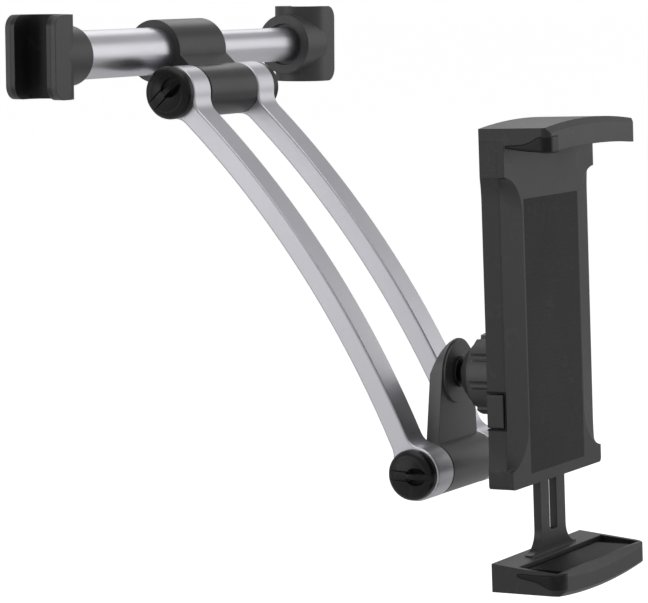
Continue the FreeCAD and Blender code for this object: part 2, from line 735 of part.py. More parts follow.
def front_outline(inset, y):
    """Outline of the front cover with its flared ends, as a wire in the plane Y = y."""
    waist = back_half - inset
    flare = flare_half - inset
    top = body_top - inset
    bottom = body_bottom + inset

    def side(sign):
        bow_x = sign * (waist + (flare - waist) * flare_bow)
        mid_top = V(bow_x, y, flare_top_start + (flare_top_end - flare_top_start) * flare_bow_at)
        mid_bottom = V(bow_x, y, flare_bottom_start
                       + (flare_bottom_end - flare_bottom_start) * flare_bow_at)
        return {"low": V(sign * flare, y, bottom), "low_end": V(sign * flare, y, flare_bottom_end),
                "low_mid": mid_bottom, "low_start": V(sign * waist, y, flare_bottom_start),
                "top_start": V(sign * waist, y, flare_top_start), "top_mid": mid_top,
                "top_end": V(sign * flare, y, flare_top_end), "top": V(sign * flare, y, top)}

    r, l = side(1), side(-1)
    return Part.Wire([Part.makeLine(l["low"], r["low"]), Part.makeLine(r["low"], r["low_end"]),
                      Part.Arc(r["low_end"], r["low_mid"], r["low_start"]).toShape(),
                      Part.makeLine(r["low_start"], r["top_start"]),
                      Part.Arc(r["top_start"], r["top_mid"], r["top_end"]).toShape(),
                      Part.makeLine(r["top_end"], r["top"]), Part.makeLine(r["top"], l["top"]),
                      Part.makeLine(l["top"], l["top_end"]),
                      Part.Arc(l["top_end"], l["top_mid"], l["top_start"]).toShape(),
                      Part.makeLine(l["top_start"], l["low_start"]),
                      Part.Arc(l["low_start"], l["low_mid"], l["low_end"]).toShape(),
                      Part.makeLine(l["low_end"], l["low"])])


def body_block(y_end):
    """Block of the body's outline from the seam to y_end, its lower corners rounded."""
    block = Part.Face(front_outline(0.0, body_seam)).extrude(V(0, y_end - body_seam, 0))
    edges = [e for e in block.Edges if e.BoundBox.YLength > 2 and e.CenterOfMass.z < body_bottom + 1]
    return block.makeFillet(corner_r, edges)


def stem_exit():
    """Space that the stem runs through, with its clearance."""
    return box(-stem_half - gap, stem_half + gap, stem_front - gap, stem_back + gap,
               body_bottom - 1, body_bottom + shell_wall + corner_r)


def cavity():
    """Inside of the closed body."""
    half = back_half - shell_wall
    return box(-half, half, inner_front, inner_back, body_bottom + shell_wall, body_top - shell_wall)


def build_back_shell():
    shell = body_block(body_back)
    shell = shell.cut(cavity())
    rail_top = lug_z - jaw_open - gap
    ribs = []
    for sign in (-1, 1):
        inner = sign * (stem_half + gap)
        outer = sign * (stem_half + gap + shell_wall)
        ribs.append(box(min(inner, outer), max(inner, outer), inner_front + gap, inner_back,
                        body_bottom + shell_wall, rail_top))
        ribs.append(cyl_y(spring_post_d / 2, body_seam, inner_back, sign * jaw_spring_x,
                          spring_post_z))
    ribs.append(box(spring_rib_x, spring_rib_x + spring_rib_t, body_seam, inner_back,
                    button_spring_z - button_spring_d / 2, button_spring_z + button_spring_d / 2))
    for x, z in shell_screw_places():
        ribs.append(cyl_y(shell_boss_r, body_seam, inner_back, x, z))
    shell = fuse([shell] + ribs).cut(stem_exit())
    for x, z in shell_screw_places():
        head_y = body_back - shell_screw_sink
        shell = shell.cut(cyl_y(small_head_d / 2 + small_head_gap, head_y, body_back + 1, x, z))
        shell = shell.cut(small_screw(x, z, head_y, body_seam - 1))
    for x, z in socket_screw_places():
        shell = shell.cut(small_screw(x, z, inner_back, body_back + 1))
    shell = shell.cut(button_window())
    keep_cradle("back_shell", shell)


def shoulder_cut(sign):
    """What the cover loses at one side: from the panel's curved edge it slopes back to the waist."""
    mid = (flare_bow, flare_bow_at)

    def rim(y, inner, top_start, bottom_start, bow):
        reach = flare_half - inner
        bow_x = sign * (inner + reach * bow[0])
        foot_x = sign * (flare_half + 1)
        ends = [V(sign * flare_half, y, flare_top_end), V(sign * inner, y, top_start),
                V(sign * inner, y, bottom_start), V(sign * flare_half, y, flare_bottom_end),
                V(foot_x, y, flare_bottom_end), V(foot_x, y, flare_top_end)]
        top_mid = V(bow_x, y, top_start + (flare_top_end - top_start) * bow[1])
        bottom_mid = V(bow_x, y, bottom_start + (flare_bottom_end - bottom_start) * bow[1])
        return Part.Wire([Part.Arc(ends[0], top_mid, ends[1]).toShape(), Part.makeLine(ends[1], ends[2]),
                          Part.Arc(ends[2], bottom_mid, ends[3]).toShape(),
                          Part.makeLine(ends[3], ends[4]), Part.makeLine(ends[4], ends[5]),
                          Part.makeLine(ends[5], ends[0])])

    front = rim(body_front, panel_half, panel_top_start, panel_bottom_start, (panel_bow, panel_bow_at))
    foot = rim(body_seam - slope_step, back_half, flare_top_start, flare_bottom_start, mid)
    return Part.makeLoft([front, foot], True, True)


def build_front_cover():
    """Front half: a raised panel, sloping shoulders at the waist and flared ends."""
    base = body_block(body_front)
    for sign in (-1, 1):
        base = base.cut(shoulder_cut(sign))
    hollow = box(-panel_half, panel_half, inner_front, body_seam,
                 body_bottom + shell_wall, body_top - shell_wall)
    base = base.cut(hollow).cut(stem_exit())
    for x, z in shell_screw_places():
        hole_end = body_seam - shell_screw_bite - slide_gap
        base = base.cut(cyl_y(small_screw_d / 2, hole_end, body_seam + 1, x, z))
    pad_half = panel_half - pad_inset
    pad_low = body_bottom + pad_low_inset
    pad_back = body_front + front_pad_t
    keep_cradle("front_cover", base.cut(box(-pad_half, pad_half, body_front - 1, pad_back,
                                            pad_low, panel_top)))
    keep_cradle("front_pad", box(-pad_half, pad_half, body_front, pad_back, pad_low, panel_top))
    head_y = body_back - shell_screw_sink
    screws = [small_screw(x, z, head_y, body_seam - shell_screw_bite) for x, z in shell_screw_places()]
    keep_cradle("shell_screws", Part.makeCompound(screws))


def jaw_plan(corner, z0, height):
    """Jaw seen from above: sides flush with the body, round corners at the lip."""
    turn = corner * (1 - 1 / sqrt(2.0))

    def half(sign):
        return (V(sign * flare_half, body_back, z0), V(sign * flare_half, body_front, z0),
                V(sign * flare_half, jaw_front + corner, z0),
                V(sign * (flare_half - turn), jaw_front + turn, z0),
                V(sign * (flare_half - corner), jaw_front, z0))

    r, l = half(1), half(-1)
    wire = Part.Wire([Part.makeLine(l[0], r[0]), Part.makeLine(r[0], r[1]), Part.makeLine(r[1], r[2]),
                      Part.Arc(r[2], r[3], r[4]).toShape(), Part.makeLine(r[4], l[4]),
                      Part.Arc(l[4], l[3], l[2]).toShape(), Part.makeLine(l[2], l[1]),
                      Part.makeLine(l[1], l[0])])
    return Part.Face(wire).extrude(V(0, 0, height))


def arched_cut(z_mid, drop, far, slope=0.0):
    """Everything between an arch over the lip's width and a far level, leaning back by slope."""
    half = flare_half + 2
    y0 = jaw_front - 1
    z_mid -= slope
    z_end = z_mid - drop
    wire = Part.Wire([Part.Arc(V(-half, y0, z_end), V(0, y0, z_mid), V(half, y0, z_end)).toShape(),
                      Part.makeLine(V(half, y0, z_end), V(half, y0, z_mid + far)),
                      Part.makeLine(V(half, y0, z_mid + far), V(-half, y0, z_mid + far)),
                      Part.makeLine(V(-half, y0, z_mid + far), V(-half, y0, z_end))])
    depth = body_back - y0 + 1
    return Part.Face(wire).extrude(V(0, depth, depth * slope))


def liner(inner_z, outer_z, lip_z):
    """Rubber liner of a jaw: a sheet on the jaw's floor, turned along the lip."""
    low, high = min(inner_z, outer_z), max(inner_z, outer_z)
    sheet = box(-jaw_liner_half, jaw_liner_half, lip_in, body_front - jaw_pad_t, low, high)
    low, high = min(lip_z, outer_z), max(lip_z, outer_z)
    turn = box(-jaw_liner_half, jaw_liner_half, lip_in, lip_in + jaw_pad_t, low, high)
    return fuse([sheet, turn])


def build_upper_jaw():
    """Fixed jaw: arched roof with a bevelled front edge, a lip, and a cheek at each side."""
    roof_z = body_top
    low = jaw_lip_low - jaw_lip_low_arch
    wide = flare_half + 1
    block = jaw_plan(jaw_corner_r, low - 1, jaw_top - low + 1)
    block = block.cut(box(-cheek_in, cheek_in, lip_in, body_front, low - 2, roof_z))
    block = block.cut(box(-wide, wide, body_front, body_back + 1, low - 2, roof_z))
    block = block.cut(box(-wide, wide, lip_in, body_front, low - 2, cheek_low))
    block = block.cut(arched_cut(jaw_top, jaw_top_arch, jaw_top_arch))
    block = block.cut(arched_cut(jaw_lip_top, jaw_lip_top_arch, 2 * jaw_edge_rise,
                                 jaw_edge_rise / jaw_edge_depth))
    block = block.cut(arched_cut(jaw_lip_low, jaw_lip_low_arch, -2 * jaw_lip_low_arch)
                      .common(box(-wide, wide, jaw_front - 1, lip_in, low - 2, roof_z)))
    for x in (-jaw_screw_x, jaw_screw_x):
        block = block.cut(cyl_z(small_screw_d / 2, roof_z - 1, roof_z + jaw_screw_bite + gap,
                                x, jaw_screw_y))
    keep_cradle("upper_jaw", block)
    keep_cradle("upper_jaw_pad", liner(roof_z - jaw_pad_t, roof_z, jaw_lip_low + jaw_liner_lip))
    screws = []
    under = roof_z - shell_wall
    for x in (-jaw_screw_x, jaw_screw_x):
        head = cyl_z(small_head_d / 2, under - small_head_t, under, x, jaw_screw_y)
        shank = cyl_z(small_screw_d / 2, under, roof_z + jaw_screw_bite, x, jaw_screw_y)
        screws.append(fuse([head, shank]))
        hole = cyl_z(small_screw_d / 2, under - 1, roof_z + 1, x, jaw_screw_y)
        keep("back_shell", nodes["back_shell"].cut(place(hole)))
    keep_cradle("jaw_screws", Part.makeCompound(screws))


def build_lower_jaw():
    """Sliding jaw: tray with lip and cheeks, and the slotted stem that runs into the body."""
    wide = flare_half + 1
    block = jaw_plan(lower_corner_r, lower_bottom, lower_wall_top - lower_bottom)
    slope = (lower_wall_top - lower_lip_top) / (body_back - jaw_front)
    top = [V(-wide, body_back, lower_wall_top), V(-wide, jaw_front, lower_lip_top),
           V(-wide, jaw_front - 1, lower_lip_top - slope), V(-wide, jaw_front - 1, lower_wall_top + 1),
           V(-wide, body_back, lower_wall_top + 1)]
    block = block.cut(prism(top, V(2 * wide, 0, 0)))
    block = block.cut(box(-cheek_in, cheek_in, lip_in, body_front, lower_floor, lower_wall_top + 1))
    lip_mid = lower_lip_top - lower_lip_dip
    block = block.cut(arched_cut(lip_mid, -lower_lip_dip, 2 * lower_lip_bevel,
                                 lower_lip_bevel / jaw_lip_t))
    block = block.cut(arched_cut(lower_bottom, -lower_arch, -lower_arch))
    block = block.cut(arched_cut(lower_bottom + lower_edge_rise, -lower_arch, -2 * lower_arch, -1.0))
    stem = box(-stem_half, stem_half, stem_front, stem_back, lower_wall_top - 2, stem_top)
    lugs = box(-lug_half, lug_half, stem_front, stem_back, lug_z, lug_z + lug_t)
    fillets = []
    for sign in (-1, 1):
        corner = box(min(sign * stem_half, sign * (stem_half + stem_blend)),
                     max(sign * stem_half, sign * (stem_half + stem_blend)),
                     stem_front, stem_back, lower_wall_top - 2, lower_wall_top + stem_blend)
        round_cut = cyl_y(stem_blend, stem_front - 1, stem_back + 1,
                          sign * (stem_half + stem_blend), lower_wall_top + stem_blend)
        fillets.append(corner.cut(round_cut))
    jaw = fuse([block, stem, lugs] + fillets)
    jaw = jaw.cut(box(-slot_half, slot_half, stem_front - 1, stem_back + 1,
                      slot_bottom, stem_top - slot_bridge))
    keep_cradle("lower_jaw", jaw)
    pad_top = lower_floor + jaw_pad_t
    keep_cradle("lower_jaw_pad", liner(pad_top, lower_floor, pad_top))


def build_jaw_springs():
    springs = []
    z0 = lug_z + lug_t + jaw_spring_wire / 2 + spring_end_gap
    z1 = spring_post_z - spring_post_d / 2 - jaw_spring_wire / 2 - spring_end_gap
    mean_r = (jaw_spring_d - jaw_spring_wire) / 2
    y = (inner_front + inner_back) / 2
    for sign in (-1, 1):
        coil = helix_spring(0, z1 - z0, mean_r, jaw_spring_wire, jaw_spring_turns)
        coil.rotate(V(0, 0, 0), V(0, 1, 0), -90)
        coil.translate(V(sign * jaw_spring_x, y, z0))
        springs.append(coil)
    keep_cradle("jaw_springs", Part.makeCompound(springs))


# Release button: pushed in, it lifts the brake shoe off the wall of the stem's slot

def button_window():
    """Cut-out in the shell's corner, deep enough for the button's whole travel."""
    half = button_height / 2 + gap
    return box(-back_half - 1, -back_half + button_wall + button_travel + gap,
               body_back - button_depth - gap, body_back + 1, button_z - half, button_z + half)


def build_button():
    half = button_height / 2
    front = body_back - button_depth
    cap = rounded_box(-back_half - button_proud, -back_half + button_wall, front,
                      body_back - button_back_inset, button_z - half, button_z + half, button_corner)
    bar_front = inner_back - gap - brake_bar_t
    bar = box(-back_half + button_wall, 0.0, bar_front, inner_back - gap,
              brake_bar_z - brake_bar_height / 2, brake_bar_z + brake_bar_height / 2)
    keep_cradle("release_button", fuse([cap, bar]))
    shoe_x = -slot_half + slide_gap
    shoe = box(shoe_x, shoe_x + brake_shoe_w, stem_front + gap, bar_front,
               brake_bar_z - brake_bar_height / 2, brake_bar_z + brake_bar_height / 2)
    keep_cradle("brake_shoe", shoe)
    mean_r = (button_spring_d - button_spring_wire) / 2
    clear = button_spring_wire / 2 + spring_end_gap
    x0 = -back_half + button_wall + clear
    coil = helix_spring(x0, spring_rib_x - clear - x0, mean_r, button_spring_wire, button_spring_turns)
    coil.translate(V(0, (inner_front + inner_back) / 2, button_spring_z))
    keep_cradle("button_spring", coil)


build_hooks()
build_bar()
build_centre_bracket()
build_arms()
build_pivot("upper", upper_pivot_y, upper_pivot_z, upper_knob_d / 2, upper_fin_turn)
build_pivot("lower", lower_pivot_y, lower_pivot_z, lower_knob_d / 2, lower_fin_turn)
build_plate()
build_ball_joint()
build_back_shell()
build_front_cover()
build_upper_jaw()
build_lower_jaw()
build_jaw_springs()
build_button()

os.makedirs("parts", exist_ok=True)
for name in sorted(nodes):
    shape = nodes[name]
    print(name, "solids", len(shape.Solids), "valid", shape.isValid(), "volume", round(shape.Volume, 1))
    shape.exportStep("parts/" + name + ".step")
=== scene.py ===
from math import cos, pi, radians, sin

import bmesh
import bpy
from mathutils import Matrix, Vector


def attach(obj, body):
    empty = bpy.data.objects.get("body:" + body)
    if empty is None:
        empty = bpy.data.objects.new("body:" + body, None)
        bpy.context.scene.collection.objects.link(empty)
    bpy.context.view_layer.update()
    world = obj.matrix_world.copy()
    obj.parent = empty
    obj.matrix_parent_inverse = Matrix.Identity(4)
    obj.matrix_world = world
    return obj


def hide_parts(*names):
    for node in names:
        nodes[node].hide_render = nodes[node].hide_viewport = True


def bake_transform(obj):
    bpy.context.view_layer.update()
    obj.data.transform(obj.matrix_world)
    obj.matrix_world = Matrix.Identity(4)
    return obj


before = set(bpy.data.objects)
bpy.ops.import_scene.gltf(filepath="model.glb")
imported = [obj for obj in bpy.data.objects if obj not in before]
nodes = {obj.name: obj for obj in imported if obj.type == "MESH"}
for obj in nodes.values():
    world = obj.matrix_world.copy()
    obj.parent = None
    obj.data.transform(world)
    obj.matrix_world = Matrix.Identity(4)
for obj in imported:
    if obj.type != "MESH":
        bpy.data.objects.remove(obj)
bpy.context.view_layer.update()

# Studio: a pale floor well below the hanging mount, soft lamps above and at the sides, and a long
# lens that looks along the bar from the left, a little from above.
bpy.context.scene.view_settings.view_transform = "Standard"

camera_place = (-0.87689, -0.63231, 0.03508)
azimuth, elevation, roll = radians(59.535), radians(-6.568), radians(-0.329)
look = Vector((cos(elevation) * sin(azimuth), cos(elevation) * cos(azimuth), sin(elevation)))
right = Vector((cos(azimuth), -sin(azimuth), 0))
above = right.cross(look)
turned_right = right * cos(roll) + above * sin(roll)
turned_up = above * cos(roll) - right * sin(roll)
axes = Matrix((turned_right, turned_up, -look)).transposed()
bpy.ops.object.camera_add(location=camera_place, rotation=axes.to_euler())
camera = bpy.context.object
camera.data.sensor_width = 36.0
camera.data.lens = 166.15
camera.data.clip_start = 0.05
bpy.context.scene.camera = camera


def calculate(tree, operation, *terms):
    """Add a Math node whose terms are numbers or outputs of other nodes, and return its output."""
    node = tree.nodes.new("ShaderNodeMath")
    node.operation = operation
    for socket, term in zip(node.inputs, terms):
        if isinstance(term, float):
            socket.default_value = term
        else:
            tree.links.new(term, socket)
    return node.outputs[0]


floor_place = (0.09, -0.08, -0.32)
floor_tone, floor_glow = 0.86, 0.72
bpy.ops.mesh.primitive_plane_add(size=30, location=floor_place)
floor = bpy.context.object
floor.name = "floor"
pale = bpy.data.materials.new("pale_floor")
pale.use_nodes = True
tree = pale.node_tree
shader = tree.nodes["Principled BSDF"]
shader.inputs["Base Color"].default_value = (floor_tone, floor_tone, floor_tone, 1)
shader.inputs["Roughness"].default_value = 0.9
shader.inputs["Specular IOR Level"].default_value = 0.0
shader.inputs["Emission Color"].default_value = (1, 1, 1, 1)
path = tree.nodes.new("ShaderNodeLightPath")
glow = calculate(tree, "MULTIPLY", path.outputs["Is Camera Ray"], floor_glow)
tree.links.new(glow, shader.inputs["Emission Strength"])
floor.data.materials.append(pale)

# The room gives a dim even light. Reflections show it a little brighter, and the camera sees white.
light_level, seen_level, gloss_extra = 0.32, 1.0, 0.12
world = bpy.data.worlds.new("studio")
bpy.context.scene.world = world
world.use_nodes = True
tree = world.node_tree
background = tree.nodes["Background"]
background.inputs["Color"].default_value = (1, 1, 1, 1)
path = tree.nodes.new("ShaderNodeLightPath")
seen = calculate(tree, "MAXIMUM", path.outputs["Is Camera Ray"], path.outputs["Is Transmission Ray"])
level = tree.nodes.new("ShaderNodeMapRange")
level.inputs["To Min"].default_value = light_level
level.inputs["To Max"].default_value = seen_level
tree.links.new(seen, level.inputs["Value"])
in_gloss = calculate(tree, "MULTIPLY_ADD", path.outputs["Is Glossy Ray"], gloss_extra,
                     level.outputs["Result"])
tree.links.new(in_gloss, background.inputs["Strength"])

mount_middle = Vector((0.09, -0.07, -0.09))
for name, place, size, strength in (("lamp_above", (0.0, -0.1, 1.2), 1.3, 1.0),
                                    ("lamp_left", (-1.2, 0.85, 0.1), 1.2, 0.95),
                                    ("lamp_front", (1.2, -1.0, 0.25), 1.0, 0.75),
                                    ("lamp_edge", (1.1, 0.45, 0.7), 0.6, 1.0)):
    bpy.ops.object.light_add(type="AREA", location=place)
    lamp = bpy.context.object
    lamp.name = name
    lamp.data.size = size
    lamp.data.energy = strength * pi * size * size
    aim = mount_middle - Vector(place)
    lamp.rotation_euler = aim.to_track_quat("-Z", "Y").to_euler()

# Hooks: one U-shaped moulding on each end of the bar, black ABS with a fine spark-eroded grain,
# a round boss that takes the tube, and a rubber liner that shows as a thin edge at the lips.


def surface_group():
    """Moulded or cast surface: cloudy colour change, scuffs, and a fine grain as height."""
    rough_change, scuff_tone = 0.08, (0.3, 0.3, 0.3, 1)
    group = bpy.data.node_groups.new("moulded_surface", "ShaderNodeTree")
    number, colour = "NodeSocketFloat", "NodeSocketColor"
    for label, kind, value in (("Color", colour, (0.05, 0.05, 0.05, 1)), ("Variation", number, 0.15),
                               ("Grain Scale", number, 2500.0), ("Roughness", number, 0.5),
                               ("Scuffs", number, 0.1)):
        socket = group.interface.new_socket(label, in_out="INPUT", socket_type=kind)
        socket.default_value = value
    for label, kind in (("Color", colour), ("Roughness", number), ("Height", number)):
        group.interface.new_socket(label, in_out="OUTPUT", socket_type=kind)
    link = group.links.new
    given = group.nodes.new("NodeGroupInput")
    result = group.nodes.new("NodeGroupOutput")
    coords = group.nodes.new("ShaderNodeTexCoord")

    def noise(**values):
        """Add a noise over the piece's own coordinates."""
        texture = group.nodes.new("ShaderNodeTexNoise")
        for label, value in values.items():
            texture.inputs[label].default_value = value
        link(coords.outputs["Object"], texture.inputs["Vector"])
        return texture

    grain = noise(Detail=2.0)
    link(given.outputs["Grain Scale"], grain.inputs["Scale"])
    link(grain.outputs["Fac"], result.inputs["Height"])

    clouds = noise(Scale=28.0, Detail=4.0)
    shift = group.nodes.new("ShaderNodeMapRange")
    shift.inputs["To Min"].default_value = -1.0
    shift.inputs["To Max"].default_value = 1.0
    link(clouds.outputs["Fac"], shift.inputs["Value"])
    change = calculate(group, "MULTIPLY_ADD", shift.outputs["Result"], given.outputs["Variation"], 1.0)
    tone = group.nodes.new("ShaderNodeVectorMath")
    tone.operation = "SCALE"
    link(given.outputs["Color"], tone.inputs[0])
    link(change, tone.inputs["Scale"])
    rough = calculate(group, "MULTIPLY_ADD", shift.outputs["Result"], rough_change,
                      given.outputs["Roughness"])
    link(rough, result.inputs["Roughness"])

    scuff = noise(Scale=160.0, Detail=8.0, Distortion=1.5)
    marks = group.nodes.new("ShaderNodeMapRange")
    marks.inputs["From Min"].default_value = 0.58
    marks.inputs["From Max"].default_value = 0.75
    link(scuff.outputs["Fac"], marks.inputs["Value"])
    worn = calculate(group, "MULTIPLY", marks.outputs["Result"], given.outputs["Scuffs"])
    pale_marks = group.nodes.new("ShaderNodeMix")
    pale_marks.data_type = "RGBA"
    pale_marks.inputs["B"].default_value = scuff_tone
    link(worn, pale_marks.inputs["Factor"])
    link(tone.outputs["Vector"], pale_marks.inputs["A"])
    link(pale_marks.outputs["Result"], result.inputs["Color"])
    return group


moulded = surface_group()


def surfaced(name, color, roughness, variation, scuffs):
    """Start a material whose colour comes from the moulded surface, and return that node with it."""
    made = bpy.data.materials.new(name)
    made.use_nodes = True
    tree = made.node_tree
    surface = tree.nodes.new("ShaderNodeGroup")
    surface.node_tree = moulded
    for label, value in (("Color", (*color, 1)), ("Roughness", roughness), ("Variation", variation),
                         ("Scuffs", scuffs)):
        surface.inputs[label].default_value = value
    tree.links.new(surface.outputs["Color"], tree.nodes["Principled BSDF"].inputs["Base Color"])
    return made, surface


def soften(tree, edge, height, strength, depth):
    """Make edges look rounded by a radius, and lay a fine relief over the faces."""
    rounded = tree.nodes.new("ShaderNodeBevel")
    rounded.samples = 4
    rounded.inputs["Radius"].default_value = edge
    relief = tree.nodes.new("ShaderNodeBump")
    relief.inputs["Strength"].default_value = strength
    relief.inputs["Distance"].default_value = depth
    tree.links.new(height, relief.inputs["Height"])
    tree.links.new(rounded.outputs["Normal"], relief.inputs["Normal"])
    tree.links.new(relief.outputs["Normal"], tree.nodes["Principled BSDF"].inputs["Normal"])


def moulded_material(name, color, roughness, edge, grain=0.02, specular=0.5):
    """Plastic or rubber with the moulded surface, faint scuffs and softened edges."""
    made, surface = surfaced(name, color, roughness, variation=0.15, scuffs=0.05)
    shader = made.node_tree.nodes["Principled BSDF"]
    shader.inputs["Specular IOR Level"].default_value = specular
    made.node_tree.links.new(surface.outputs["Roughness"], shader.inputs["Roughness"])
    soften(made.node_tree, edge, surface.outputs["Height"], strength=grain, depth=0.0004)
    return made


def dress(material, *names):
    """Give CAD nodes a material."""
    for name in names:
        node = nodes[name]
        node.data.materials.clear()
        node.data.materials.append(material)


hook_plastic = moulded_material("hook_plastic", (0.062, 0.062, 0.063), 0.4, edge=0.0006, grain=0.1)
dress(hook_plastic, "left_hook", "right_hook")
hook_liner = moulded_material("hook_liner", (0.009, 0.009, 0.009), 0.34, edge=0.0003, grain=0.1,
                              specular=0.6)
dress(hook_liner, "left_hook_pad", "right_hook_pad")

# Telescopic bar: an outer tube of bright anodised aluminium and a thinner one that slides in it,
# in a plastic bush; plugs, the pins and screws in them, and the pull spring are hidden inside.


def metal_material(name, color, roughness, edge, line_scale, brush, stretch=(1, 1, 1)):
    """Metal with a fine brushed or mottled relief, drawn out along an axis whose stretch is small."""
    rough_lines = 0.12
    made, surface = surfaced(name, color, roughness, variation=0.06, scuffs=0.0)
    tree = made.node_tree
    shader = tree.nodes["Principled BSDF"]
    shader.inputs["Metallic"].default_value = 1.0
    coords = tree.nodes.new("ShaderNodeTexCoord")
    along = tree.nodes.new("ShaderNodeMapping")
    along.inputs["Scale"].default_value = stretch
    tree.links.new(coords.outputs["Object"], along.inputs["Vector"])
    lines = tree.nodes.new("ShaderNodeTexNoise")
    lines.inputs["Scale"].default_value = line_scale
    lines.inputs["Detail"].default_value = 5.0
    tree.links.new(along.outputs["Vector"], lines.inputs["Vector"])
    spread = calculate(tree, "MULTIPLY_ADD", lines.outputs["Fac"], rough_lines,
                       surface.outputs["Roughness"])
    tree.links.new(spread, shader.inputs["Roughness"])
    soften(tree, edge, lines.outputs["Fac"], strength=brush, depth=0.0003)
    return made


def finish_with(piece, kind, **settings):
    """Add a modifier to the active piece and apply it."""
    modifier = piece.modifiers.new(kind.lower(), kind)
    for setting, value in settings.items():
        setattr(modifier, setting, value)
    bpy.ops.object.modifier_apply(modifier=modifier.name)


def face_outwards():
    """Turn every face of the active piece outwards."""
    bpy.ops.object.mode_set(mode="EDIT")
    bpy.ops.mesh.select_all(action="SELECT")
    bpy.ops.mesh.normals_make_consistent(inside=False)
    bpy.ops.object.mode_set(mode="OBJECT")


def coil(name, length, mean_radius, wire, turns, place, rotation=(0, 0, 0)):
    """Wind a steel spring along X from its wire's round section, close its ends and set it in place."""
    bpy.ops.object.select_all(action="DESELECT")
    bpy.ops.mesh.primitive_circle_add(vertices=10, radius=wire / 2, rotation=(pi / 2, 0, 0),
                                      location=(0, 0, mean_radius))
    piece = bpy.context.object
    piece.name = name
    bpy.ops.object.transform_apply(location=True, rotation=True, scale=True)
    steps = 20 * turns
    finish_with(piece, "SCREW", axis="X", angle=2 * pi * turns, screw_offset=length, steps=steps,
                render_steps=steps)
    bpy.ops.object.mode_set(mode="EDIT")
    bpy.ops.mesh.select_all(action="SELECT")
    bpy.ops.mesh.fill_holes(sides=0)
    bpy.ops.object.mode_set(mode="OBJECT")
    face_outwards()
    bpy.ops.object.shade_smooth()
    piece.location = place
    piece.rotation_euler = rotation
    bpy.ops.object.transform_apply(location=True, rotation=True, scale=True)
    piece.data.materials.append(steel)
    return piece


tube_metal = metal_material("tube_metal", (0.68, 0.68, 0.72), 0.27, edge=0.0002, line_scale=1800.0,
                            brush=0.03, stretch=(0.02, 1, 1))
dress(tube_metal, "outer_tube", "inner_tube")
inner_plastic = moulded_material("inner_plastic", (0.07, 0.07, 0.075), 0.45, edge=0.0002)
dress(inner_plastic, "tube_bush", "left_plug", "right_plug")
steel = metal_material("zinc_steel", (0.56, 0.56, 0.57), 0.3, edge=0.00015, line_scale=900.0, brush=0.05)
dress(steel, "left_spring_pin", "right_spring_pin", "left_hook_screw", "right_hook_screw")

pull_start, pull_length = 0.0137, 0.1541
pull_spring = coil("bar_pull_spring", pull_length, mean_radius=0.0037, wire=0.001, turns=14,
                   place=(pull_start, 0, 0))
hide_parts("bar_spring")
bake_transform(pull_spring)

# Centre bracket: one black moulding with a half-matt finish, a collar round the outer tube with the
# upper pivot's barrel below it, held on the tube by a blackened set screw.
bracket_plastic = moulded_material("bracket_plastic", (0.03, 0.03, 0.031), 0.32, edge=0.0004, grain=0.08)
dress(bracket_plastic, "centre_bracket")
black_steel = metal_material("black_oxide_steel", (0.07, 0.07, 0.075), 0.35, edge=0.0003,
                             line_scale=700.0, brush=0.05)
dress(black_steel, "collar_screw")

# Arms: thick aluminium bars sawn and milled to an arch, satin anodised, with brushed sides and the
# round eyes turned smooth.
arm_metal = metal_material("arm_metal", (0.64, 0.64, 0.68), 0.34, edge=0.00015, line_scale=2200.0,
                           brush=0.05)
dress(arm_metal, "left_arm", "right_arm")

# Pivots: a plated bolt through both arms and a barrel, with plastic washers between them. Its nut
# sits in a glossy black knob on the left, and a round cap of the same plastic covers its head.
cap_plastic = moulded_material("cap_plastic", (0.006, 0.006, 0.006), 0.3, edge=0.0003, grain=0.03,
                               specular=0.32)
for pivot in ("upper", "lower"):
    dress(cap_plastic, pivot + "_cap", pivot + "_knob")
    dress(steel, pivot + "_bolt", pivot + "_nut")
    dress(inner_plastic, pivot + "_washers")

# Plate: the lower barrel with the upright plate for the ball stud, one black moulding with a stronger
# specular. Its colour is painted lighter than the rest, as painted light on its front face. The stud's
# washer and nut sit in a round recess in its back.
plate_plastic_painted_light = moulded_material("plate_plastic_painted_light", (0.09, 0.09, 0.092), 0.4, edge=0.0004, grain=0.08,
                                 specular=0.9)
dress(plate_plastic_painted_light, "plate_bracket")
dress(steel, "stud_washer", "stud_nut")

# Ball joint: a blackened steel ball stud between two plastic rings, in a split socket that is
# screwed on the cradle's back. A ribbed ring nut in semi-gloss black clamps it.
ring_plastic = moulded_material("ring_plastic", (0.07, 0.07, 0.071), 0.3, edge=0.0004)
dress(ring_plastic, "ball_nut", "ball_socket")
dress(inner_plastic, "ball_washer", "ball_seat")
dress(black_steel, "ball_stud")
dress(steel, "socket_screws")

# Cradle body: two matt black ABS shells screwed together from behind, and a soft grip panel let into
# the front one, moulded with fine cross ribs.
shell_plastic = moulded_material("shell_plastic", (0.022, 0.022, 0.023), 0.4, edge=0.0002, grain=0.1)
dress(shell_plastic, "back_shell", "front_cover")
dress(black_steel, "shell_screws")
pad_rubber = moulded_material("pad_rubber", (0.02, 0.02, 0.021), 0.62, edge=0.0003, grain=0.2,
                              specular=0.35)
tree = pad_rubber.node_tree
coords = tree.nodes.new("ShaderNodeTexCoord")
ribs = tree.nodes.new("ShaderNodeTexWave")
ribs.bands_direction = "Z"
ribs.inputs["Scale"].default_value = 190.0
tree.links.new(coords.outputs["Object"], ribs.inputs["Vector"])
ridge = tree.nodes.new("ShaderNodeBump")
ridge.inputs["Strength"].default_value = 0.15
ridge.inputs["Distance"].default_value = 0.0003
tree.links.new(ribs.outputs["Fac"], ridge.inputs["Height"])
skin = tree.nodes["Principled BSDF"].inputs["Normal"]
tree.links.new(skin.links[0].from_socket, ridge.inputs["Normal"])
tree.links.new(ridge.outputs["Normal"], skin)
dress(pad_rubber, "front_pad")

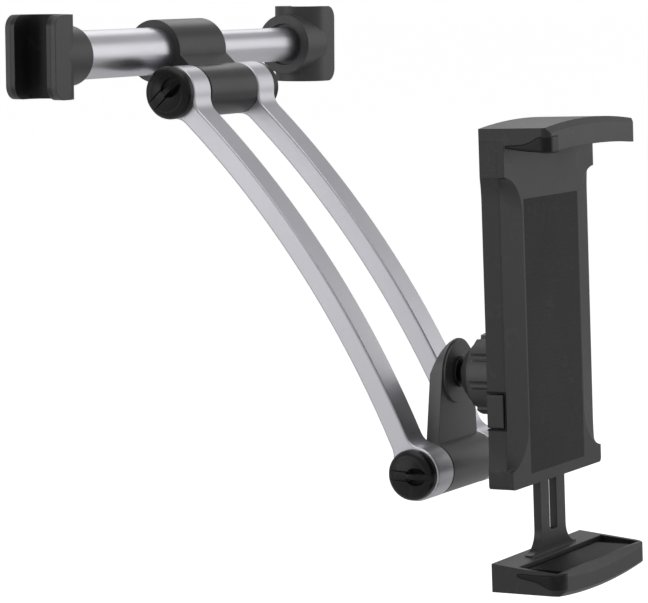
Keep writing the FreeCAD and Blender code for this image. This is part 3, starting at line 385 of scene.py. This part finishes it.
# Jaws: stiff black mouldings, the upper one screwed on the body and the lower one on its slotted stem,
# each with a soft liner on its floor.
jaw_plastic = moulded_material("jaw_plastic", (0.025, 0.025, 0.026), 0.38, edge=0.0004, grain=0.1)
dress(jaw_plastic, "upper_jaw", "lower_jaw")
liner_rubber = moulded_material("liner_rubber", (0.006, 0.006, 0.006), 0.55, edge=0.0003, grain=0.15,
                                specular=0.25)
dress(liner_rubber, "upper_jaw_pad", "lower_jaw_pad")
dress(steel, "jaw_screws")

# Jaw corners: four soft dark inserts wrapped round the ends of the lips, glued in and a little proud
# of the hard plastic. The left ones run on to the lip's front, with a thin near-black strip round them
# as painted shade of the groove at their edge; each is drawn out to a thin tail along its cheek.
insert_rubber = moulded_material("insert_rubber", (0.006, 0.006, 0.006), 0.36, edge=0.0003, grain=0.05,
                                 specular=0.32)
cradle_centre = Vector((0.088, -0.135247, -0.116588))
cradle_lean = radians(-2.0)


def pick(*pieces):
    """Select these pieces alone, and make the first one active."""
    bpy.ops.object.select_all(action="DESELECT")
    for piece in pieces:
        piece.select_set(True)
    bpy.context.view_layer.objects.active = pieces[0]


def select_points(piece, wanted):
    """In edit mode, select the points that answer to a test and nothing else."""
    shape = bmesh.from_edit_mesh(piece.data)
    for face in shape.faces:
        face.select = False
    for edge in shape.edges:
        edge.select = False
    for point in shape.verts:
        point.select = wanted(point)
    shape.select_flush_mode()
    bmesh.update_edit_mesh(piece.data)


def set_in_cradle(piece):
    """Take a piece drawn in the cradle's own frame to its place, with the place in the mesh."""
    pick(piece)
    piece.rotation_euler = (cradle_lean, 0, 0)
    piece.location = cradle_centre
    bpy.ops.object.transform_apply(location=True, rotation=True, scale=True)


def wrapped_strip(name, stations, wall, material):
    """Draw an upright edge through stations (x, y, low, high in mm), then thicken and round it."""
    near = 1e-6
    stations = [[value / 1000 for value in station] for station in stations]
    x, y, low, high = stations[0]
    side = high - low
    bpy.ops.object.select_all(action="DESELECT")
    bpy.ops.mesh.primitive_plane_add(size=side, location=(x + side / 2, y, (low + high) / 2),
                                     rotation=(pi / 2, 0, 0))
    piece = bpy.context.object
    piece.name = name
    bpy.ops.object.transform_apply(location=True, rotation=True, scale=True)
    bpy.ops.object.mode_set(mode="EDIT")
    bpy.ops.mesh.select_mode(type="VERT")
    select_points(piece, lambda point: point.co.x > x + side / 2)
    bpy.ops.mesh.delete(type="VERT")
    bpy.ops.mesh.select_all(action="SELECT")
    for next_x, next_y, next_low, next_high in stations[1:]:
        bpy.ops.mesh.extrude_region_move(
            TRANSFORM_OT_translate={"value": (next_x - x, next_y - y, next_low - low)})
        grow = (next_high - next_low) - (high - low)
        x, y, low, high = next_x, next_y, next_low, next_high
        tip = [point.co.copy() for point in bmesh.from_edit_mesh(piece.data).verts if point.select]
        top = max(tip, key=lambda place: place.z)
        select_points(piece, lambda point: (point.co - top).length < near)
        bpy.ops.transform.translate(value=(0, 0, grow))
        select_points(piece, lambda point: abs(point.co.x - x) < near and abs(point.co.y - y) < near)
    bpy.ops.object.mode_set(mode="OBJECT")
    finish_with(piece, "SOLIDIFY", thickness=wall, offset=-1.0, use_even_offset=True)
    finish_with(piece, "BEVEL", width=0.00022, segments=2, limit_method="ANGLE")
    finish_with(piece, "SUBSURF", levels=2, render_levels=2)
    face_outwards()
    bpy.ops.object.shade_smooth()
    piece.data.materials.append(material)
    return piece


def mirrored(piece, name):
    """Copy a piece, with its own mesh, to the other side of the cradle."""
    pick(piece)
    bpy.ops.object.duplicate(linked=False)
    copy = bpy.context.object
    copy.name = name
    copy.scale = (-1, 1, 1)
    bpy.ops.object.transform_apply(location=False, rotation=False, scale=True)
    face_outwards()
    return copy


cheek_x, lip_y = -36.35, -44.35


def corner_stations(radius, low, high, steps):
    """Stations round a lip's corner, from the cheek to the front."""
    turns = [pi / 2 * k / steps for k in range(1, steps + 1)]
    x, y = cheek_x + radius, lip_y + radius
    return [(x - radius * cos(t), y - radius * sin(t), low, high) for t in turns]


upper_cheek = [(-27.5, 84.5, 84.9), (-30.0, 84.15, 85.0), (-32.8, 83.7, 85.1), (-35.2, 83.45, 85.4),
               (-37.0, 83.3, 86.1), (-38.6, 83.2, 87.0), (-40.0, 83.1, 87.7), (-41.1, 83.0, 87.9)]
upper_run = [(cheek_x, *station) for station in upper_cheek]
upper_run += corner_stations(3.25, 82.75, 88.0, 5)
upper_run += [(-31.0, lip_y, 82.65, 88.0), (-28.7, lip_y, 82.75, 87.9)]
lower_cheek = [(-27.2, -66.8, -66.5), (-28.6, -67.4, -66.05), (-30.7, -67.8, -66.15),
               (-34.1, -68.3, -66.3), (-36.0, -69.1, -66.3), (-37.6, -69.9, -66.2),
               (-39.6, -70.7, -66.05)]
lower_run = [(cheek_x, *station) for station in lower_cheek]
lower_run += corner_stations(4.75, -71.2, -65.9, 6)
lower_run += [(-30.8, lip_y, -70.9, -66.1)]

# Painted shade: the groove round a left insert is a thinner near-black strip, sunk a little behind
# the insert. It shows by so many mm above and below it and past its tail. The inserts on the right
# end part of the way round their corner.
insert_wall, groove_shade_wall = 0.0016, 0.0006
groove_shade_show, groove_shade_tail, sunk_x, sunk_y = 0.4, 0.5, 0.996, 0.997
right_stations = 10
for run, level, body in ((upper_run, "upper", "cradle"), (lower_run, "lower", "sliding_jaw")):
    seat = [(x * sunk_x, y * sunk_y, low - groove_shade_show, high + groove_shade_show) for x, y, low, high in run]
    seat[0] = (seat[0][0], seat[0][1] + groove_shade_tail, *seat[0][2:])
    pieces = [wrapped_strip("left_" + level + "_insert", run, insert_wall, insert_rubber),
              wrapped_strip("left_" + level + "_groove_shade", seat, groove_shade_wall, liner_rubber)]
    short = wrapped_strip("short_run", run[:right_stations], insert_wall, insert_rubber)
    pieces.append(mirrored(short, "right_" + level + "_insert"))
    bpy.data.objects.remove(short)
    for piece in pieces:
        set_in_cradle(piece)
        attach(piece, body)

# Jaw springs: two steel pull springs inside the cradle body, hooked on its posts at the top and on the
# stem's lugs at the bottom. On the holder they stretch as the jaw is drawn out; here they are wound at
# one length.
spring_y = -0.0214
lug_x, lug_z, jaw_spring_length = 0.014, 0.03637, 0.04226
pair = [coil("jaw_pull_springs", jaw_spring_length, mean_radius=0.00185, wire=0.0007, turns=16,
             place=(x, spring_y, lug_z), rotation=(0, -pi / 2, 0)) for x in (-lug_x, lug_x)]
pick(*pair)
bpy.ops.object.join()
jaw_pull_springs = pair[0]
set_in_cradle(jaw_pull_springs)
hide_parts("jaw_springs")
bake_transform(jaw_pull_springs)

# Release button: a small square push piece on the left side in its own cut-out, with a dark rubber
# gasket pressed in round three sides of the opening and a small steel spring behind it. Pushed in,
# it lifts the brake shoe off the wall of the stem's slot.
button_plastic = moulded_material("button_plastic", (0.03, 0.03, 0.031), 0.36, edge=0.0004)
dress(button_plastic, "release_button")
dress(liner_rubber, "brake_shoe")

gasket_middle = Vector((-0.03538, -0.0205, -0.0085))
gasket_width, gasket_height, gasket_rim, gasket_ends = 0.0076, 0.0140, 0.0007, 0.0004
bpy.ops.object.select_all(action="DESELECT")
bpy.ops.mesh.primitive_plane_add(size=1, rotation=(0, -pi / 2, 0), location=gasket_middle)
gasket = bpy.context.object
gasket.name = "button_gasket"
bpy.ops.object.transform_apply(location=False, rotation=True, scale=False)
gasket.scale = (1, gasket_width, gasket_height)
bpy.ops.object.transform_apply(location=True, rotation=False, scale=True)
bpy.ops.object.mode_set(mode="EDIT")
bpy.ops.mesh.select_mode(type="FACE")
bpy.ops.mesh.select_all(action="SELECT")
bpy.ops.mesh.inset(thickness=gasket_rim)
bpy.ops.mesh.delete(type="FACE")
bpy.ops.mesh.select_mode(type="VERT")
select_points(gasket, lambda point: point.co.y > gasket_middle.y)
bpy.ops.transform.translate(value=(0, gasket_ends, 0))
bpy.ops.mesh.delete(type="FACE")
bpy.ops.object.mode_set(mode="OBJECT")
finish_with(gasket, "SOLIDIFY", thickness=0.00025, offset=0.0)
finish_with(gasket, "BEVEL", width=0.00006, segments=2)
gasket.data.materials.append(liner_rubber)
set_in_cradle(gasket)
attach(gasket, "cradle")

return_start, return_length = Vector((-0.03303, spring_y, -0.0065)), 0.00896
return_spring = coil("button_return_spring", return_length, mean_radius=0.00175, wire=0.0005, turns=5,
                     place=return_start)
set_in_cradle(return_spring)
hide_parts("button_spring")
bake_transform(return_spring)
